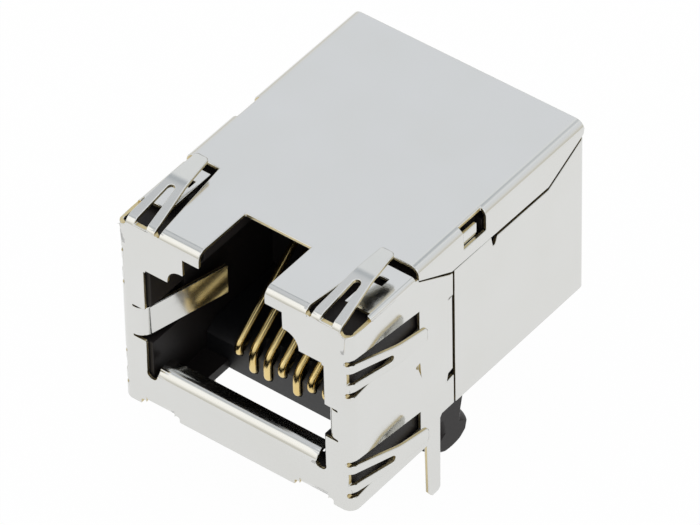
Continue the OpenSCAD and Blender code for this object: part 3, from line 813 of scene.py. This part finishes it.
@dataclass
class Studio:
    """Floor, world, lamps and camera.

    Attributes:
        floor_size: Length of the floor's side, in metres.
        azimuth: Angle of the camera round the jack, in degrees.
        elevation: Angle of the camera above the board, in degrees.
        roll: Turn of the camera about its own axis, in degrees.
        distance: Distance of the camera from the front face's foot, in metres.
        aside: How far the camera stands to the right of that foot, in metres.
        above: How far the camera stands above that foot in the view, in metres.
        lens: Focal length, in millimetres.
        clip: Nearest and farthest distance that the camera sees, in metres.
        front: How far the front face stands before the line of the pegs, in metres.
        floor_in_view: Share of pure white in the floor that the camera sees.
        floor_in_mirror: The same for the floor that metal reflects.
        sky: Rise of a direction above the horizon to the colour of the cove there.
        glow: Direction of the feathered glow in the cove.
        glow_edges: Cosines of the angles from it at which the glow starts and is full.
        glow_strength: How much of the glow's colour is added there.
        glow_colour: The glow's colour.
        lamps: Name, place, size and power of each softbox.
    """

    floor_size: float = 0.8
    azimuth: float = 38.525
    elevation: float = 42.472
    roll: float = -1.202
    distance: float = 0.42586
    aside: float = 0.006181
    above: float = 0.010451
    lens: float = 400.29
    clip: tuple[float, float] = (0.01, 20.0)
    front: float = FRONT_FACE
    floor_in_view: float = 0.98
    floor_in_mirror: float = 0.86
    sky: tuple[tuple[float, str], ...] = (
        (0.0, "dcd8cb"),
        (0.3, "eeeeec"),
        (0.68, "eff2f8"),
        (0.73, "f8fafb"),
        (0.78, "f4f6f8"),
        (0.81, "b8bec4"),
        (0.835, "b8bec4"),
        (0.865, "e4e6ea"),
        (1.0, "c4c7cc"),
    )
    glow: tuple[float, ...] = (-0.462, -0.672, 0.579)
    glow_edges: tuple[float, float] = (0.87, 1.0)
    glow_strength: float = 0.4
    glow_colour: str = "fff4dc"
    lamps: tuple[tuple[str, tuple[float, ...], float, float], ...] = (
        ("overhead_box", (0.0, 0.05, 0.45), 0.35, 0.15),
        ("right_box", (0.45, -0.1, 0.3), 0.3, 0.18),
    )

    def build(self) -> None:
        """Builds the whole studio."""
        self._add_floor(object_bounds()[0][2])
        self._light_world()
        self._add_lamps()
        self._add_camera()

    def _add_floor(self, height: float) -> None:
        """Lays a white floor at the jack's lowest point, which keeps the shadow.

        Args:
            height: Height of that point, in metres.
        """
        work = bmesh.new()
        bmesh.ops.create_grid(work, x_segments=1, y_segments=1, size=self.floor_size / 2)
        bmesh.ops.translate(work, verts=work.verts, vec=(0, 0, height))
        mesh = bpy.data.meshes.new("floor")
        work.to_mesh(mesh)
        work.free()
        material = bpy.data.materials.new("white_card")
        material.use_nodes = True
        tree = material.node_tree
        tree.nodes.remove(tree.nodes["Principled BSDF"])
        rays = add_node(tree, "ShaderNodeLightPath").outputs
        mirrored = add_node(
            tree,
            "ShaderNodeMath",
            {0: rays["Is Glossy Ray"], 1: self.floor_in_mirror},
            operation="MULTIPLY",
        ).outputs[0]
        share = add_node(
            tree,
            "ShaderNodeMath",
            {0: rays["Is Camera Ray"], 1: self.floor_in_view, 2: mirrored},
            operation="MULTIPLY_ADD",
        ).outputs[0]
        card = add_node(tree, "ShaderNodeBsdfDiffuse", {"Color": srgb("f4f4f4")}).outputs[0]
        white = add_node(
            tree, "ShaderNodeEmission", {"Color": srgb("ffffff"), "Strength": 1.0}
        ).outputs[0]
        mixed = add_node(tree, "ShaderNodeMixShader", {0: share, 1: card, 2: white}).outputs[0]
        tree.links.new(mixed, tree.nodes["Material Output"].inputs["Surface"])
        mesh.materials.append(material)
        floor = bpy.data.objects.new("floor", mesh)
        bpy.context.scene.collection.objects.link(floor)
        floor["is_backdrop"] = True

    def _light_world(self) -> None:
        """Lights the world softly; the camera sees it white."""
        world = bpy.data.worlds.new("white_cove")
        bpy.context.scene.world = world
        world.use_nodes = True
        tree = world.node_tree
        rays = add_node(tree, "ShaderNodeLightPath").outputs
        way = add_node(tree, "ShaderNodeTexCoord").outputs["Generated"]
        sky = add_node(
            tree,
            "ShaderNodeMix",
            {
                "Factor": self._add_glow(tree, way),
                6: self._add_cove(tree, way),
                7: srgb(self.glow_colour),
            },
            data_type="RGBA",
            blend_type="ADD",
        ).outputs[2]
        lit = tree.nodes["Background"]
        tree.links.new(sky, lit.inputs["Color"])
        lit.inputs["Strength"].default_value = 1.0
        white = add_node(
            tree, "ShaderNodeBackground", {"Color": srgb("ffffff"), "Strength": 1.0}
        ).outputs[0]
        mixed = add_node(
            tree, "ShaderNodeMixShader", {0: rays["Is Camera Ray"], 1: lit.outputs[0], 2: white}
        ).outputs[0]
        tree.links.new(mixed, tree.nodes["World Output"].inputs["Surface"])

    def _add_cove(
        self, tree: bpy.types.NodeTree, way: bpy.types.NodeSocket
    ) -> bpy.types.NodeSocket:
        """Colours the cove by the rise of a direction above the horizon.

        Args:
            tree: The world's node tree.
            way: The direction.

        Returns:
            The cove's colour in that direction.
        """
        rise = add_node(tree, "ShaderNodeSeparateXYZ", {0: way}).outputs["Z"]
        cove = add_node(tree, "ShaderNodeValToRGB", {"Fac": rise})
        stops = cove.color_ramp.elements
        stops[0].position, stops[1].position = self.sky[0][0], self.sky[-1][0]
        for place, _ in self.sky[1:-1]:
            stops.new(place)
        for stop, (_, colour) in zip(stops, self.sky):
            stop.color = srgb(colour)
        return cove.outputs["Color"]

    def _add_glow(
        self, tree: bpy.types.NodeTree, way: bpy.types.NodeSocket
    ) -> bpy.types.NodeSocket:
        """Feathers the glow round its direction.

        Args:
            tree: The world's node tree.
            way: The direction.

        Returns:
            How much of the glow's colour is added in that direction.
        """
        toward = add_node(
            tree, "ShaderNodeVectorMath", {0: way, 1: self.glow}, operation="DOT_PRODUCT"
        ).outputs["Value"]
        start, full = self.glow_edges
        return add_node(
            tree,
            "ShaderNodeMapRange",
            {
                "Value": toward,
                "From Min": start,
                "From Max": full,
                "To Max": self.glow_strength,
            },
            interpolation_type="SMOOTHSTEP",
        ).outputs["Result"]

    def _add_lamps(self) -> None:
        """Hangs the softboxes round the jack."""
        for name, spot, size, power in self.lamps:
            lamp = bpy.data.lights.new(name, "AREA")
            lamp.size = size
            lamp.energy = power
            holder = bpy.data.objects.new(name, lamp)
            facing = (-Vector(spot)).to_track_quat("-Z", "Y").to_matrix().to_4x4()
            holder.matrix_world = Matrix.Translation(spot) @ facing
            bpy.context.scene.collection.objects.link(holder)

    def _add_camera(self) -> None:
        """Sets the camera above the front right corner."""
        side, rise, turn = (math.radians(a) for a in (self.azimuth, self.elevation, self.roll))
        level = math.cos(rise)
        back = Vector((math.sin(side) * level, -math.cos(side) * level, math.sin(rise)))
        right = Vector((math.cos(side), math.sin(side), 0))
        up = back.cross(right)
        x_axis = right * math.cos(turn) + up * math.sin(turn)
        y_axis = up * math.cos(turn) - right * math.sin(turn)
        foot = Vector((0, -self.front, 0))
        spot = foot + x_axis * self.aside + y_axis * self.above + back * self.distance
        camera = bpy.data.cameras.new("camera")
        camera.lens = self.lens
        camera.clip_start, camera.clip_end = self.clip
        holder = bpy.data.objects.new("camera", camera)
        facing = Matrix((x_axis, y_axis, back)).transposed().to_4x4()
        holder.matrix_world = Matrix.Translation(spot) @ facing
        bpy.context.scene.collection.objects.link(holder)
        bpy.context.scene.camera = holder


def main() -> None:
    """Loads the solids, dresses them and sets the studio round them."""
    logging.basicConfig(level=logging.INFO, format="%(message)s")
    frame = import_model()
    materials = make_materials()
    for builder in (FoldedShield(materials), Mouldings(materials), ContactRow(materials)):
        for piece in builder.build(frame):
            LOG.info("%s: %d faces", piece.name, len(piece.data.polygons))
    dressed = Module(materials).dress(frame)
    LOG.info("inner pieces dressed: %d", len(dressed))
    Studio().build()
    bpy.context.scene.view_settings.view_transform = "Standard"


if __name__ == "__main__":
    main()
